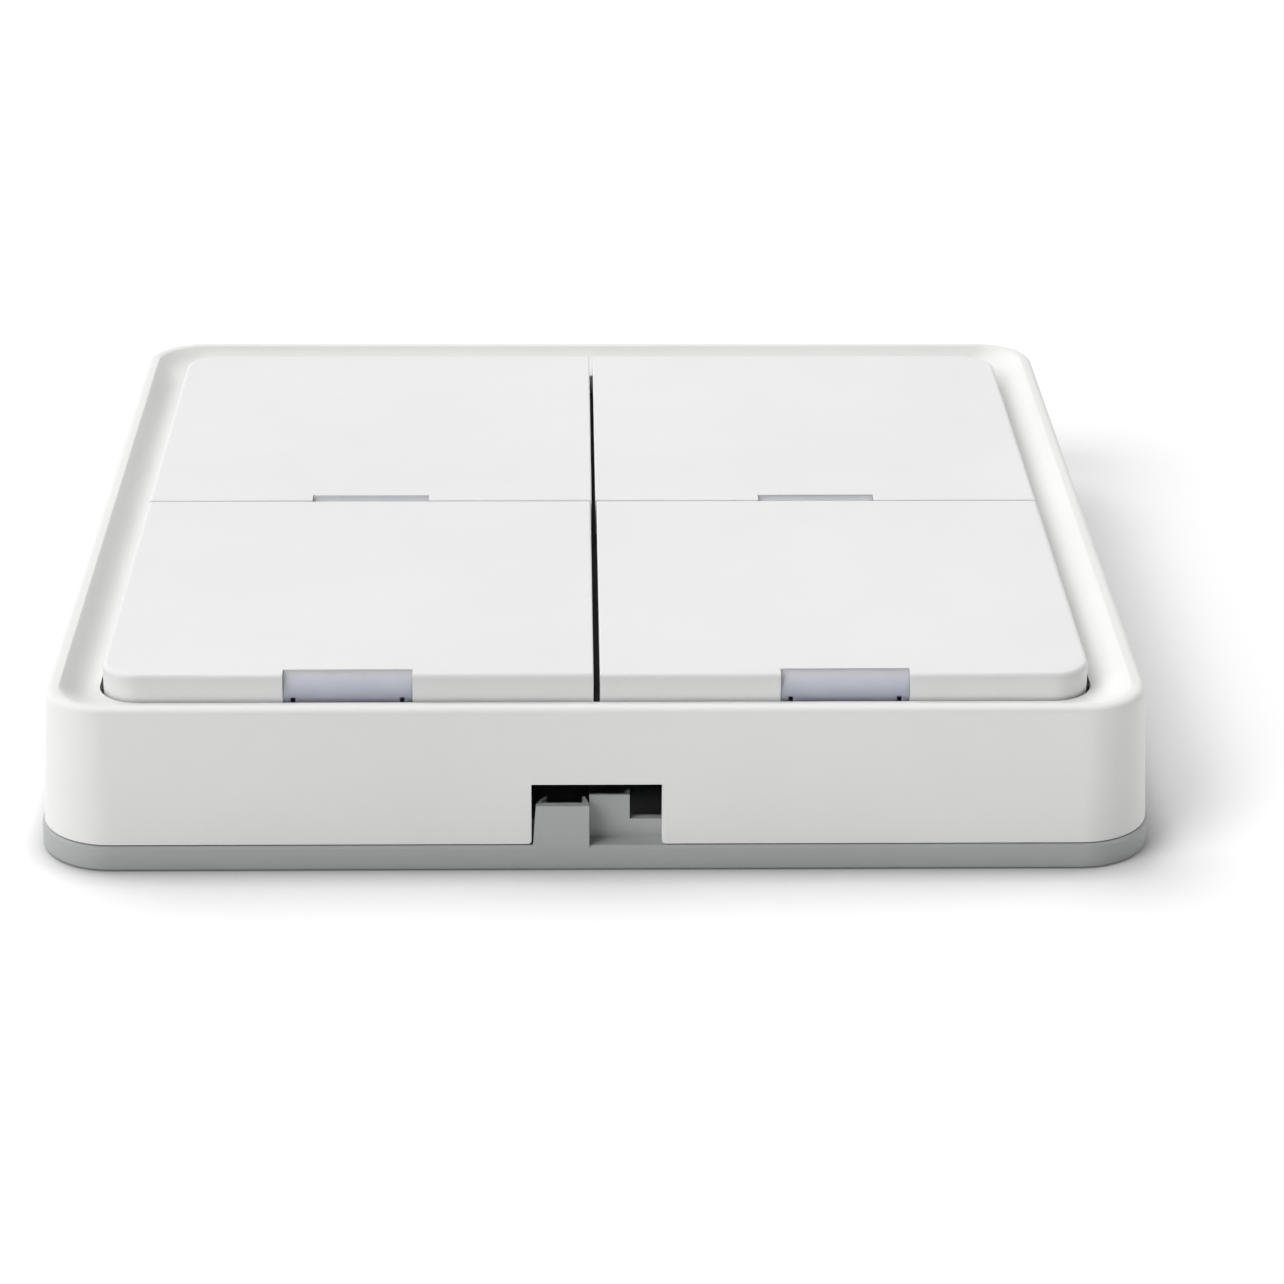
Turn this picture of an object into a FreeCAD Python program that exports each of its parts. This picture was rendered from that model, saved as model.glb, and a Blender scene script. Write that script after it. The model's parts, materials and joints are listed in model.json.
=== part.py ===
import FreeCAD, Part
import math
import os

from FreeCAD import Vector

# A battery-powered wall switch with four hinged keys, in millimetres.
# The frame: the origin is the centre of the face that lies on the wall, +Z points out of the wall,
# +Y is up the wall, and +X is to the right of a person who faces the switch.
# Heights are measured from the wall face.

# Cover: the white frame round the keys
cover_width = 86.0
cover_corner_radius = 5.65
cover_wall = 1.3
parting_rise = 0.2
parting_gap = 0.1
crest_drop = 0.51
wall_taper = 0.7
crest_width = 1.1
crest_outer_round = 0.5
crest_outer_steps = 3
crest_inner_bevel = 0.12
cove_start_angle = 65.0
cove_steps = 5
lip_rise = 1.8
collar_wall = 1.2
shoulder_drop = 0.4
shoulder_width = 1.0

# Keys
key_border_side = 4.67
key_border_end = 5.94
key_room = 2.46
key_corner_radius = 3.0
key_edge_round = 0.4
key_edge_steps = 3
key_inner_round = 0.12
key_plate = 1.5
key_skirt = 1.2
key_foot_clearance = 0.8
seam_position = -0.6
seam_gap = 0.25
column_gap_upper = 0.32
column_gap_lower = 0.5
frame_gap = 0.3
key_rib_height = 1.0
key_rib_width = 0.9
key_rib_pitch = 8.0

# Key hinges, latches and the push on the switch
hinge_setback = 3.0
hinge_rise = 1.2
hinge_bead_radius = 0.8
hinge_running_clearance = 0.05
hinge_lug_wall = 0.9
hinge_lug_width = 3.0
hinge_foot_clearance = 0.35
hinge_mouth_width = 1.2
hinge_rib_thickness = 0.8
hinge_rib_overhang = 1.2
hinge_spread = 13.0
push_distance = 9.56
push_width = 3.6
push_gap = 0.05
push_rib_clearance = 0.3
latch_setback = 3.2
latch_thickness = 1.0
latch_width = 4.0
latch_spread = 13.0
latch_hook = 0.6
latch_hook_height = 0.5
latch_gap = 0.05
latch_slot_clearance = 0.3

# Light windows
window_shift = 0.055
window_width = 9.95
window_depth = 1.15
window_round = 2.0
window_foot_rise = 1.2
window_fit = 0.02
window_flange_margin = 0.8
window_flange_thickness = 1.0
window_flange_rise = 0.9
window_guide_width = 4.0
window_guide_depth = 1.4
window_guide_clearance = 0.5
window_toe_width = 0.34
window_toe_height = 0.85
window_toe_inset = 0.6

# Key carrier: the inner chassis
carrier_gap = 0.2
carrier_wall = 1.2
deck_thickness = 1.2
carrier_window_width = 6.0
carrier_window_spread = 22.0
carrier_window_height = 1.6
carrier_window_rise = 0.7
switch_window_clearance = 0.3

# Circuit board
board_gap = 1.8
board_thickness = 1.2
board_standoff = 1.2
boss_width = 4.4
screw_inset = 2.5
screw_line = 8.0
rest_length = 16.0
rest_width = 1.2
rest_inset = 1.6
screw_shank_radius = 0.95
screw_head_radius = 1.9
screw_head_height = 1.1
screw_bite = 1.8
screw_hole_clearance = 0.1
screw_drive_length = 1.9
screw_drive_width = 0.5
screw_drive_depth = 0.5

# Push switches on the board
switch_size = 6.0
switch_height = 3.4
switch_floor = 1.2
plunger_radius = 1.75
plunger_running_clearance = 0.05
plunger_rise = 0.9
plunger_height = 2.05
switch_leg_width = 0.7
switch_leg_reach = 1.0
switch_leg_height = 0.2
switch_leg_pitch = 4.5
spring_length = 3.2
spring_width = 1.4
spring_rise = 0.6
spring_crown_length = 1.2
spring_thickness = 0.1

# Coin cell, its holder and contacts, under the board
cell_diameter = 24.5
cell_height = 3.0
cell_step = 1.1
cell_step_height = 0.25
cell_side_gap = 0.15
holder_wall = 1.2
holder_floor = 0.5
holder_depth = 3.3
holder_clearance = 0.4
holder_mouth_angle = 130.0
contact_thickness = 0.2
contact_width = 6.0
contact_slot_clearance = 0.4
contact_foot = 3.0
contact_strip_inset = 3.25

# Radio module and other parts on the board
radio_width = 16.0
radio_holder_gap = 1.4
radio_thickness = 0.8
radio_edge_distance = 1.0
shield_width = 14.4
shield_antenna_gap = 2.5
shield_height = 2.0
shield_wall = 0.2
antenna_track = 0.5
antenna_pitch = 1.3
antenna_height = 0.1
antenna_span = 5.2
antenna_turns = 5
led_length = 1.6
led_width = 0.8
led_height = 0.6
led_setback = 1.9
chip_length = 2.0
chip_width = 1.25
chip_height = 0.85
chip_pitch = 3.2
chip_count = 4
chip_row = -21.0

# Base plate
flange_overhang = 0.2
flange_edge_bevel = 0.2
floor_thickness = 2.0
upstand_gap = 0.1
upstand_wall = 1.2
upstand_drop = 0.6
barb_width = 8.0
barb_reach = 0.35
barb_rise = 1.3
barb_height = 1.5
barb_flat = 0.4
barb_spread = 44.0
barb_pocket_gap = 0.1
wall_screw_spacing = 60.0
wall_slot_width = 4.2
wall_slot_length = 7.0
wall_slot_seat_width = 8.6
wall_slot_seat_depth = 0.8
pad_length = 52.0
pad_width = 15.0
pad_thickness = 0.8
pad_spread = 50.0
pad_recess_gap = 0.3
rib_height = 0.6
rib_width = 1.2
rib_start_distance = 15.5

# Release notch in the lower edge, where a screwdriver parts the cover from the base
notch_left = -5.04
notch_right = 4.97
notch_rise = 4.9
notch_round = 0.3
tab_left = -4.92
tab_right = -0.6
tab_taper = 0.23
tab_lean = 0.3
tab_rise = 3.17
tab_thickness = 0.65
brace_thickness = 0.22
brace_slant = 0.33
outer_brace_slant = 0.6
thin_wall = 0.25
pry_sill_left = 2.51
pry_sill_rise = 1.4
pry_sill_depth = 0.56
pry_sill_length = 7.0
pry_trough_depth = 0.8

# How far an edge may lie from a plane and still be taken as one of its edges
edge_tolerance = 0.01

# Heights, stacked up from the wall
parting_height = floor_thickness + parting_rise
flange_top = parting_height - parting_gap
holder_foot = floor_thickness + holder_clearance
board_bottom = holder_foot + holder_depth + holder_floor
board_top = board_bottom + board_thickness
deck_underside = board_top + board_standoff
deck_top_height = deck_underside + deck_thickness
key_underside = deck_top_height + key_room
key_top_height = key_underside + key_plate
crest_height = key_top_height - crest_drop
lip_height = deck_top_height + lip_rise
key_foot_height = deck_top_height + key_foot_clearance
hinge_height = deck_top_height + hinge_rise
lug_foot_height = deck_top_height + hinge_foot_clearance
window_foot_height = deck_top_height + window_foot_rise
window_flange_foot = deck_top_height + window_flange_rise
plunger_top = board_top + switch_height + plunger_rise
upstand_height = board_bottom - upstand_drop
carrier_window_foot = upstand_height + carrier_window_rise
barb_foot = parting_height + barb_rise
notch_top = parting_height + notch_rise
tab_root = flange_top / 2
tab_top = parting_height + tab_rise
pry_sill_height = parting_height + pry_sill_rise

# Plan sizes that follow from the cover's width
cover_half = cover_width / 2
crest_half = cover_half - wall_taper
crest_inner_half = crest_half - crest_width
crest_corner_radius = cover_corner_radius - wall_taper
crest_inner_radius = crest_corner_radius - crest_width
cavity_half = cover_half - cover_wall
cavity_radius = cover_corner_radius - cover_wall
wall_slope = wall_taper / (crest_height - parting_height)
cavity_lean = wall_slope * (deck_top_height - parting_height)
upstand_lean = wall_slope * (upstand_height - parting_height)
upstand_half = cavity_half - upstand_gap
upstand_inner_half = upstand_half - upstand_wall
upstand_radius = cavity_radius - upstand_gap
flange_half = cover_half + flange_overhang
flange_radius = cover_corner_radius + flange_overhang
key_half_x = cover_half - key_border_side
key_half_y = cover_half - key_border_end
lip_half_x = key_half_x + frame_gap
lip_half_y = key_half_y + frame_gap
lip_radius = key_corner_radius + frame_gap
window_offset = key_half_x / 2 + window_shift
lever_arm = key_half_y - hinge_setback - push_distance
carrier_half = cavity_half - cavity_lean - carrier_gap
carrier_radius = cavity_radius - carrier_gap
carrier_inner_half = carrier_half - carrier_wall
board_half = carrier_inner_half - board_gap
holder_inner = cell_diameter / 2 + cell_side_gap
holder_outer = holder_inner + holder_wall
contact_strip_half = cell_diameter / 2 - contact_strip_inset
radio_high = board_half - radio_edge_distance
radio_low = holder_outer + radio_holder_gap
antenna_low = radio_high - antenna_track - antenna_span

# Each row of keys: its front (lower) edge, its rear (upper) edge and the gap between its two keys
rows = {
    "upper": (seam_position + seam_gap / 2, key_half_y, column_gap_upper),
    "lower": (-key_half_y, seam_position - seam_gap / 2, column_gap_lower),
}
columns = {"left": -1, "right": 1}


def rounded_plan(half_x, half_y, radius, height, centre_x=0.0, centre_y=0.0):
    """A closed rounded rectangle at one height, about its centre."""
    arc = radius * (1 - math.sqrt(0.5))
    edges = []
    for turn in range(4):
        reach, side = (half_x, half_y) if turn % 2 == 0 else (half_y, half_x)
        spin = FreeCAD.Rotation(Vector(0, 0, 1), 90 * turn)
        start = Vector(reach, -side + radius, 0)
        end = Vector(reach, side - radius, 0)
        middle = Vector(reach - arc, side - arc, 0)
        corner = Vector(reach - radius, side, 0)
        place = Vector(centre_x, centre_y, height)
        a, b, c, d = [spin.multVec(p) + place for p in (start, end, middle, corner)]
        edges.append(Part.makeLine(a, b))
        edges.append(Part.Arc(b, c, d).toShape())
    return Part.Wire(edges)


def rounded_prism(half_x, half_y, radius, foot, top, centre_x=0.0, centre_y=0.0):
    """A straight solid on a rounded rectangle."""
    plan = rounded_plan(half_x, half_y, radius, foot, centre_x, centre_y)
    return Part.Face(plan).extrude(Vector(0, 0, top - foot))


def leaning_plan(half, radius, height, inset=0.0):
    """A rounded square at one height of a face that leans in with the cover's wall."""
    lean = wall_slope * (height - parting_height) + inset
    return rounded_plan(half - lean, half - lean, radius - lean, height)


def leaning_prism(half, radius, foot, top):
    """A solid on a rounded square whose sides lean in with the cover's wall."""
    return Part.makeLoft([leaning_plan(half, radius, foot), leaning_plan(half, radius, top)], True, True)


def block(x_range, y_range, z_range):
    """A straight-sided solid between the given limits."""
    size = [high - low for low, high in (x_range, y_range, z_range)]
    corner = Vector(x_range[0], y_range[0], z_range[0])
    return Part.makeBox(*size, corner)


def rectangle(x_range, y_range, height):
    """A closed rectangle at one height."""
    (left, right), (near, far) = x_range, y_range
    corners = [Vector(x, y, height) for x, y in ((left, near), (right, near), (right, far), (left, far))]
    return Part.makePolygon(corners + corners[:1])


def centred_block(centre_x, width, y_range, z_range):
    """A straight-sided solid that is centred on one X."""
    return block((centre_x - width / 2, centre_x + width / 2), y_range, z_range)


def post(radius, centre_x, centre_y, foot, top):
    """An upright cylinder."""
    return Part.makeCylinder(radius, top - foot, Vector(centre_x, centre_y, foot))


def side_profile(points, centre_x, width):
    """A solid with a closed outline in the YZ plane, centred on one X."""
    corners = [Vector(centre_x - width / 2, y, z) for y, z in points]
    outline = Part.makePolygon(corners + corners[:1])
    return Part.Face(outline).extrude(Vector(width, 0, 0))


def joined(solids):
    """One solid from pieces that touch or overlap, with no seams left on flat faces."""
    first, *rest = solids
    return first.fuse(rest).removeSplitter() if rest else first


def without(solid, tools):
    """The solid with the tools cut away."""
    return solid.cut(tools).removeSplitter()


def mirrored(shape, side):
    """The shape itself for the right-hand column, or its mirror image for the left-hand one."""
    return shape if side > 0 else shape.mirror(Vector(0, 0, 0), Vector(1, 0, 0))


def turned(shape, angle):
    """A copy that is turned about the vertical axis through the origin."""
    copy = shape.copy()
    copy.rotate(Vector(0, 0, 0), Vector(0, 0, 1), angle)
    return copy


def outer_sections():
    """Plans of the cover's outside: up the leaning wall and round the crest's outer edge."""
    bend_height = crest_height - crest_outer_round
    sections = [leaning_plan(cover_half, cover_corner_radius, parting_height)]
    for step in range(crest_outer_steps + 1):
        turn = math.radians(90) * step / crest_outer_steps
        inset = crest_outer_round * (1 - math.cos(turn))
        height = bend_height + crest_outer_round * math.sin(turn)
        sections.append(leaning_plan(cover_half, cover_corner_radius, height, inset))
    return sections


def cove_sections():
    """Plans of the hollowed slope from the lip beside the keys up to the crest's bevelled inner edge."""
    steepest = math.radians(cove_start_angle)
    end_half = crest_inner_half - crest_inner_bevel / 2
    end_height = crest_height - crest_inner_bevel
    sections = []
    for step in range(cove_steps + 1):
        lean = steepest * step / cove_steps
        out = math.sin(lean) / math.sin(steepest)
        rise = (1 - math.cos(lean)) / (1 - math.cos(steepest))
        half_x = lip_half_x + (end_half - lip_half_x) * out
        half_y = lip_half_y + (end_half - lip_half_y) * out
        radius = lip_radius + (crest_inner_radius - lip_radius) * out
        height = lip_height + (end_height - lip_height) * rise
        sections.append(rounded_plan(half_x, half_y, radius, height))
    rim_half = crest_inner_half + crest_inner_bevel
    rim_radius = crest_inner_radius + crest_inner_bevel
    for height in (crest_height, key_top_height):
        sections.append(rounded_plan(rim_half, rim_half, rim_radius, height))
    return sections


def barb_profile():
    """The outline of a snap barb across the upstand: a level catch under a sloping lead-in."""
    root = -upstand_half + upstand_wall / 2
    face = -upstand_half + upstand_lean
    tip = -upstand_half - barb_reach
    top = barb_foot + barb_height
    return [(root, barb_foot), (tip, barb_foot), (tip, barb_foot + barb_flat), (face, top), (root, top)]


def snap_barbs():
    """Two barbs on each of the four walls of the upstand."""
    pair = [side_profile(barb_profile(), side * barb_spread / 2, barb_width) for side in (-1, 1)]
    return [turned(barb, angle) for barb in pair for angle in (0, 90, 180, 270)]


def barb_pockets():
    """The pockets in the cover's walls that the barbs snap into."""
    y_range = (-upstand_half - barb_reach - barb_pocket_gap, -upstand_half + upstand_lean)
    z_range = (barb_foot - barb_pocket_gap, barb_foot + barb_height + barb_pocket_gap)
    width = barb_width + 2 * barb_pocket_gap
    pair = [centred_block(side * barb_spread / 2, width, y_range, z_range) for side in (-1, 1)]
    return [turned(pocket, angle) for pocket in pair for angle in (0, 90, 180, 270)]


def carrier_windows():
    """The windows in the carrier's wall, two on each side but the lower one."""
    y_range = (-carrier_half - carrier_gap, -carrier_inner_half + carrier_gap)
    z_range = (carrier_window_foot, carrier_window_foot + carrier_window_height)
    pair = [
        centred_block(side * carrier_window_spread / 2, carrier_window_width, y_range, z_range)
        for side in (-1, 1)
    ]
    return [turned(window, angle) for window in pair for angle in (90, 180, 270)]


def cover_catches():
    """The wedges inside the cover that hold the carrier's wall by its windows."""
    tip = -carrier_half + carrier_wall / 2
    root = -cavity_half + cavity_lean - cover_wall / 2
    foot = carrier_window_foot + barb_pocket_gap
    top = carrier_window_foot + carrier_window_height - barb_pocket_gap
    profile = [(root, foot), (tip, top - barb_flat), (tip, top), (root, top)]
    width = carrier_window_width - 2 * carrier_gap
    pair = [side_profile(profile, side * carrier_window_spread / 2, width) for side in (-1, 1)]
    return [turned(wedge, angle) for wedge in pair for angle in (90, 180, 270)]


def cover_hollow():
    """The inside of the cover: the room for the carrier, and a narrowing groove up behind the collar."""
    shoulder_height = lip_height - shoulder_drop
    room = leaning_prism(cavity_half, cavity_radius, parting_height, deck_top_height)
    groove = leaning_prism(cavity_half, cavity_radius, deck_top_height, shoulder_height)
    core_half = cavity_half - wall_slope * (shoulder_height - parting_height) - shoulder_width
    core_foot = rounded_plan(
        lip_half_x + collar_wall, lip_half_y + collar_wall, lip_radius, deck_top_height
    )
    core_top = rounded_plan(core_half, core_half, lip_radius, shoulder_height)
    core = Part.makeLoft([core_foot, core_top], True, True)
    return room.fuse(groove.cut(core))


def cover_frame():
    """The outer frame: leaning walls, a rounded crest, the cove down to the keys and a collar on the deck."""
    body = Part.makeLoft(outer_sections(), True, True)
    cove = Part.makeLoft(cove_sections(), True, True)
    well = rounded_prism(lip_half_x, lip_half_y, lip_radius, 0, lip_height)
    body = body.cut([cover_hollow(), well, cove]).fuse(cover_catches())
    return without(body, barb_pockets() + [release_notch()])


def release_notch():
    """The notch in the cover's lower wall, with its two foot corners rounded outward."""
    y_range = (-cover_half - cover_wall, -cavity_half + cavity_lean)
    opening = block((notch_left, notch_right), y_range, (0, notch_top))
    flare_top = parting_height + notch_round
    flare = block((notch_left - notch_round, notch_right + notch_round), y_range, (0, flare_top))
    depth = y_range[1] - y_range[0]
    for corner_x in (notch_left - notch_round, notch_right + notch_round):
        start = Vector(corner_x, y_range[0], flare_top)
        flare = flare.cut(Part.makeCylinder(notch_round, depth, start, Vector(0, 1, 0)))
    return opening.fuse(flare)


def base_plate():
    """The grey back plate: floor and flange, the wall that the cover snaps over, and the wall fixings."""
    plate = rounded_prism(flange_half, flange_half, flange_radius, 0, flange_top)
    rim = [edge for edge in plate.Edges if edge.BoundBox.ZLength < edge_tolerance]
    plate = plate.makeChamfer(flange_edge_bevel, rim)
    room = rounded_prism(
        upstand_inner_half, upstand_inner_half, upstand_radius - upstand_wall, floor_thickness, upstand_height
    )
    wall = leaning_prism(upstand_half, upstand_radius, floor_thickness, upstand_height)
    solid = plate.fuse([wall] + snap_barbs()).cut([room] + pry_openings())
    solid = solid.fuse(floor_ribs() + notch_braces() + [release_tab()])
    return without(solid, wall_slots() + pad_blocks(pad_recess_gap))


def floor_ribs():
    """Ribs that run out from round the cell to the walls and corners, and keep the thin floor flat."""
    across = (-rib_width / 2, rib_width / 2)
    z_range = (floor_thickness, floor_thickness + rib_height)
    straight = block((rib_start_distance, upstand_inner_half), across, z_range)
    start = rib_start_distance * math.sqrt(2)
    end = upstand_inner_half * math.sqrt(2) - upstand_radius
    slanted = block((start, end), across, z_range)
    ribs = [turned(straight, angle) for angle in (90, 270)]
    return ribs + [turned(slanted, angle) for angle in (45, 135, 225, 315)]


def pry_openings():
    """The low stretches of the upstand behind the notch, with a thin wall left between them."""
    outer = -upstand_half - upstand_gap
    face = -upstand_half + upstand_lean
    inner = -upstand_inner_half
    sill_right = pry_sill_left + pry_sill_length
    low = (pry_sill_height, upstand_height)
    return [
        block((notch_left - notch_round, tab_right), (outer, inner), low),
        block((tab_right, pry_sill_left), (face + thin_wall, inner), low),
        block((pry_sill_left, sill_right), (outer, inner), low),
        block((tab_right, sill_right), (face + pry_sill_depth, inner), (low[0] - pry_trough_depth, low[1])),
    ]


def notch_braces():
    """Thin slanted braces: two from the tab back to the upstand, and one behind the thin wall's free end."""
    tab_back = -flange_half + tab_thickness
    wall_face = -upstand_half + upstand_lean
    wall_back = wall_face + thin_wall
    wall_brace_left = pry_sill_left - brace_thickness - brace_slant
    places = [
        (tab_left + tab_taper, outer_brace_slant, tab_back, wall_back, tab_top),
        (tab_right - brace_thickness, -brace_slant, tab_back, wall_back, tab_top),
        (wall_brace_left, brace_slant, wall_face, -upstand_inner_half, upstand_height),
    ]
    braces = []
    for x, slant, front, rear, top in places:
        corners = [
            Vector(x, front, tab_root),
            Vector(x + brace_thickness, front, tab_root),
            Vector(x + brace_thickness + slant, rear, tab_root),
            Vector(x + slant, rear, tab_root),
        ]
        plan = Part.Face(Part.makePolygon(corners + corners[:1]))
        braces.append(plan.extrude(Vector(0, 0, top - tab_root)))
    return braces


def release_tab():
    """The tab that fills the left half of the notch: flush with the flange, and leaning in with the cover."""
    front = -flange_half
    back = front + tab_thickness
    root = block((tab_left, tab_right), (front, back), (tab_root, flange_top))
    foot = rectangle((tab_left, tab_right), (front, back), flange_top)
    head = rectangle((tab_left + tab_taper, tab_right), (front + tab_lean, back + tab_lean), tab_top)
    return root.fuse(Part.makeLoft([foot, head], True, True))


def wall_slots():
    """Two slotted holes for wall screws, each with a shallow seat for the screw's head."""
    half_width = wall_slot_width / 2
    run = wall_slot_length - wall_slot_width
    seat_half = wall_slot_seat_width / 2
    seat_z = (floor_thickness - wall_slot_seat_depth, floor_thickness + rib_height)
    tools = []
    for side in (-1, 1):
        x = side * wall_screw_spacing / 2
        for end_x in (x - run / 2, x + run / 2):
            tools.append(post(half_width, end_x, 0, 0, floor_thickness))
        tools.append(centred_block(x, run, (-half_width, half_width), (0, floor_thickness)))
        tools.append(centred_block(x, run + wall_slot_seat_width, (-seat_half, seat_half), seat_z))
    return tools


def pad_blocks(margin):
    """The room of the two adhesive pads on the back, with a margin round each."""
    half = pad_width / 2 + margin
    blocks = []
    for y in (-pad_spread / 2, pad_spread / 2):
        blocks.append(centred_block(0, pad_length + 2 * margin, (y - half, y + half), (0, pad_thickness)))
    return blocks


def adhesive_pads():
    """Two strips of double-sided foam tape."""
    return Part.makeCompound(pad_blocks(0))


def screw_places():
    """The centres of the two board screws."""
    return [(side * (board_half - screw_inset), screw_line) for side in (-1, 1)]


def board_rests():
    """The ribs under the deck that the board's upper and lower edges rest on."""
    edge = board_half - rest_inset
    rest = block((-rest_length / 2, rest_length / 2), (edge - rest_width, edge), (board_top, deck_underside))
    return [turned(rest, angle) for angle in (0, 180)]


def hinge_line(row):
    """The Y of a row's hinge axis."""
    return rows[row][1] - hinge_setback


def switch_line(row):
    """The Y of a row's push switches."""
    return hinge_line(row) - lever_arm


def hinge_places(row):
    """The X of each hinge of the right-hand key in a row."""
    return [window_offset + side * hinge_spread for side in (-1, 1)]


def key_carrier():
    """The chassis under the keys: a deck with a wall round it, hinge beads, and openings."""
    tray = rounded_prism(carrier_half, carrier_half, carrier_radius, upstand_height, deck_top_height)
    room = rounded_prism(
        carrier_inner_half, carrier_inner_half, carrier_radius - carrier_wall, upstand_height, deck_underside
    )
    release = block(
        (notch_left - carrier_wall, pry_sill_left + pry_sill_length),
        (-carrier_half, -carrier_inner_half),
        (upstand_height, deck_underside),
    )
    half = boss_width / 2
    bosses = []
    bites = []
    for x, y in screw_places():
        bosses.append(centred_block(x, boss_width, (y - half, y + half), (board_top, deck_underside)))
        bites.append(post(screw_shank_radius, x, y, board_top, board_top + screw_bite))
    openings = []
    beads = []
    for row in rows:
        for side in columns.values():
            openings += [mirrored(tool, side) for tool in deck_openings(row)]
            beads += [mirrored(hinge_bead(row, x), side) for x in hinge_places(row)]
    solid = tray.cut([room, release] + carrier_windows()).fuse(bosses + board_rests())
    return solid.cut(bites + openings).fuse(beads).removeSplitter()


def deck_openings(row):
    """What one right-hand key needs cut through the deck: switch window, light slot and two latch slots."""
    front = rows[row][0]
    z_range = (deck_underside, deck_top_height)
    half = switch_size / 2 + switch_window_clearance
    y = switch_line(row)
    openings = [centred_block(window_offset, 2 * half, (y - half, y + half), z_range)]
    slot_y = (
        front + key_skirt - window_guide_clearance,
        front + key_skirt + window_guide_depth + window_guide_clearance,
    )
    width = window_guide_width + 2 * window_guide_clearance
    openings.append(centred_block(window_offset, width, slot_y, z_range))
    latch_y = (
        front + latch_setback - latch_slot_clearance,
        front + latch_setback + latch_thickness + latch_slot_clearance,
    )
    for offset in (-latch_spread, latch_spread):
        width = latch_width + 2 * latch_slot_clearance
        openings.append(centred_block(window_offset + offset, width, latch_y, z_range))
    return openings


def hinge_bead(row, centre_x):
    """A round bead on a thin rib that stands on the deck: what a key's lug snaps over and turns on."""
    y = hinge_line(row)
    length = hinge_lug_width + 2 * hinge_rib_overhang
    start = Vector(centre_x - length / 2, y, hinge_height)
    bead = Part.makeCylinder(hinge_bead_radius, length, start, Vector(1, 0, 0))
    half = hinge_rib_thickness / 2
    rib = centred_block(centre_x, length, (y - half, y + half), (deck_top_height, hinge_height))
    return joined([bead, rib])


def key_plan(row, outer, inner, height):
    """The outline of a right-hand key, with one inset for its outer edges and one for the others."""
    front, rear, gap = rows[row]
    left = gap / 2 + inner
    right = key_half_x - outer
    radius = key_corner_radius - outer
    arc = radius * (1 - math.sqrt(0.5))
    if row == "upper":
        low = front + inner
        high = rear - outer
        points = [(left, high), (left, low), (right, low), (right, high - radius)]
        bend = [(right - arc, high - arc), (right - radius, high)]
    else:
        low = front + outer
        high = rear - inner
        points = [(right, high), (left, high), (left, low), (right - radius, low)]
        bend = [(right - arc, low + arc), (right, low + radius)]
    corners = [Vector(x, y, height) for x, y in points]
    middle, end = [Vector(x, y, height) for x, y in bend]
    edges = [Part.makeLine(a, b) for a, b in zip(corners, corners[1:])]
    edges.append(Part.Arc(corners[-1], middle, end).toShape())
    edges.append(Part.makeLine(end, corners[0]))
    return Part.Wire(edges)


def key_sections(row):
    """Plans of a right-hand key from its foot up, and round its top edges."""
    sections = [key_plan(row, 0, 0, key_foot_height)]
    for step in range(key_edge_steps + 1):
        turn = math.radians(90) * step / key_edge_steps
        drop = key_edge_round * (1 - math.sin(turn))
        outer = key_edge_round * (1 - math.cos(turn))
        reach = max(key_inner_round - drop, 0)
        inner = key_inner_round - math.sqrt(key_inner_round**2 - reach**2)
        sections.append(key_plan(row, outer, inner, key_top_height - drop))
    return sections


def key_shell(row):
    """The rounded plate of a right-hand key with its skirt."""
    solid = Part.makeLoft(key_sections(row), True, True)
    room = Part.Face(key_plan(row, key_skirt, key_skirt, key_foot_height))
    return solid.cut(room.extrude(Vector(0, 0, key_underside - key_foot_height)))


def hinge_lug(row, centre_x):
    """The lug that snaps over a hinge bead: a block on the key's skirt, bored, with a narrow mouth below."""
    y = hinge_line(row)
    bore = hinge_bead_radius + hinge_running_clearance
    y_range = (y - bore - hinge_lug_wall, rows[row][1] - key_skirt)
    lug = centred_block(centre_x, hinge_lug_width, y_range, (lug_foot_height, key_underside))
    start = Vector(centre_x - hinge_lug_width / 2, y, hinge_height)
    hole = Part.makeCylinder(bore, hinge_lug_width, start, Vector(1, 0, 0))
    mouth_y = (y - hinge_mouth_width / 2, y + hinge_mouth_width / 2)
    mouth = centred_block(centre_x, hinge_lug_width, mouth_y, (lug_foot_height, hinge_height))
    return lug.cut([hole, mouth])


def latch_leg(row, centre_x):
    """The leg that passes through the deck and hooks under it, so that the key can't lift."""
    near = rows[row][0] + latch_setback
    far = near + latch_thickness
    catch = deck_underside - latch_gap
    toe = catch - latch_hook_height
    return side_profile(
        [
            (near, key_underside),
            (near, toe),
            (far, toe),
            (far + latch_hook, catch),
            (far, catch),
            (far, key_underside),
        ],
        centre_x,
        latch_width,
    )


def key_ribs(row):
    """The ribs under a key's plate: one along its middle and several across, clear of the switch."""
    front, rear, gap = rows[row]
    z_range = (key_underside - key_rib_height, key_underside)
    start = switch_line(row) + switch_size / 2 + push_rib_clearance
    ribs = [centred_block(window_offset, key_rib_width, (start, rear - key_skirt), z_range)]
    across = (gap / 2 + key_skirt, key_half_x - key_skirt)
    y = switch_line(row) + key_rib_pitch
    while y < hinge_line(row) - key_rib_pitch / 2:
        ribs.append(block(across, (y - key_rib_width / 2, y + key_rib_width / 2), z_range))
        y += key_rib_pitch
    return ribs


def window_notch(row):
    """The cut in a key's front edge that its light window fills: a nick in the plate, all of the skirt."""
    front = rows[row][0]
    width = window_width + 2 * window_fit
    nick_y = (front - key_skirt, front + window_depth + window_fit)
    nick = centred_block(window_offset, width, nick_y, (key_foot_height, key_top_height + key_plate))
    skirt_y = (front - key_skirt, front + key_skirt)
    return nick.fuse(centred_block(window_offset, width, skirt_y, (key_foot_height, key_underside)))


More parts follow.
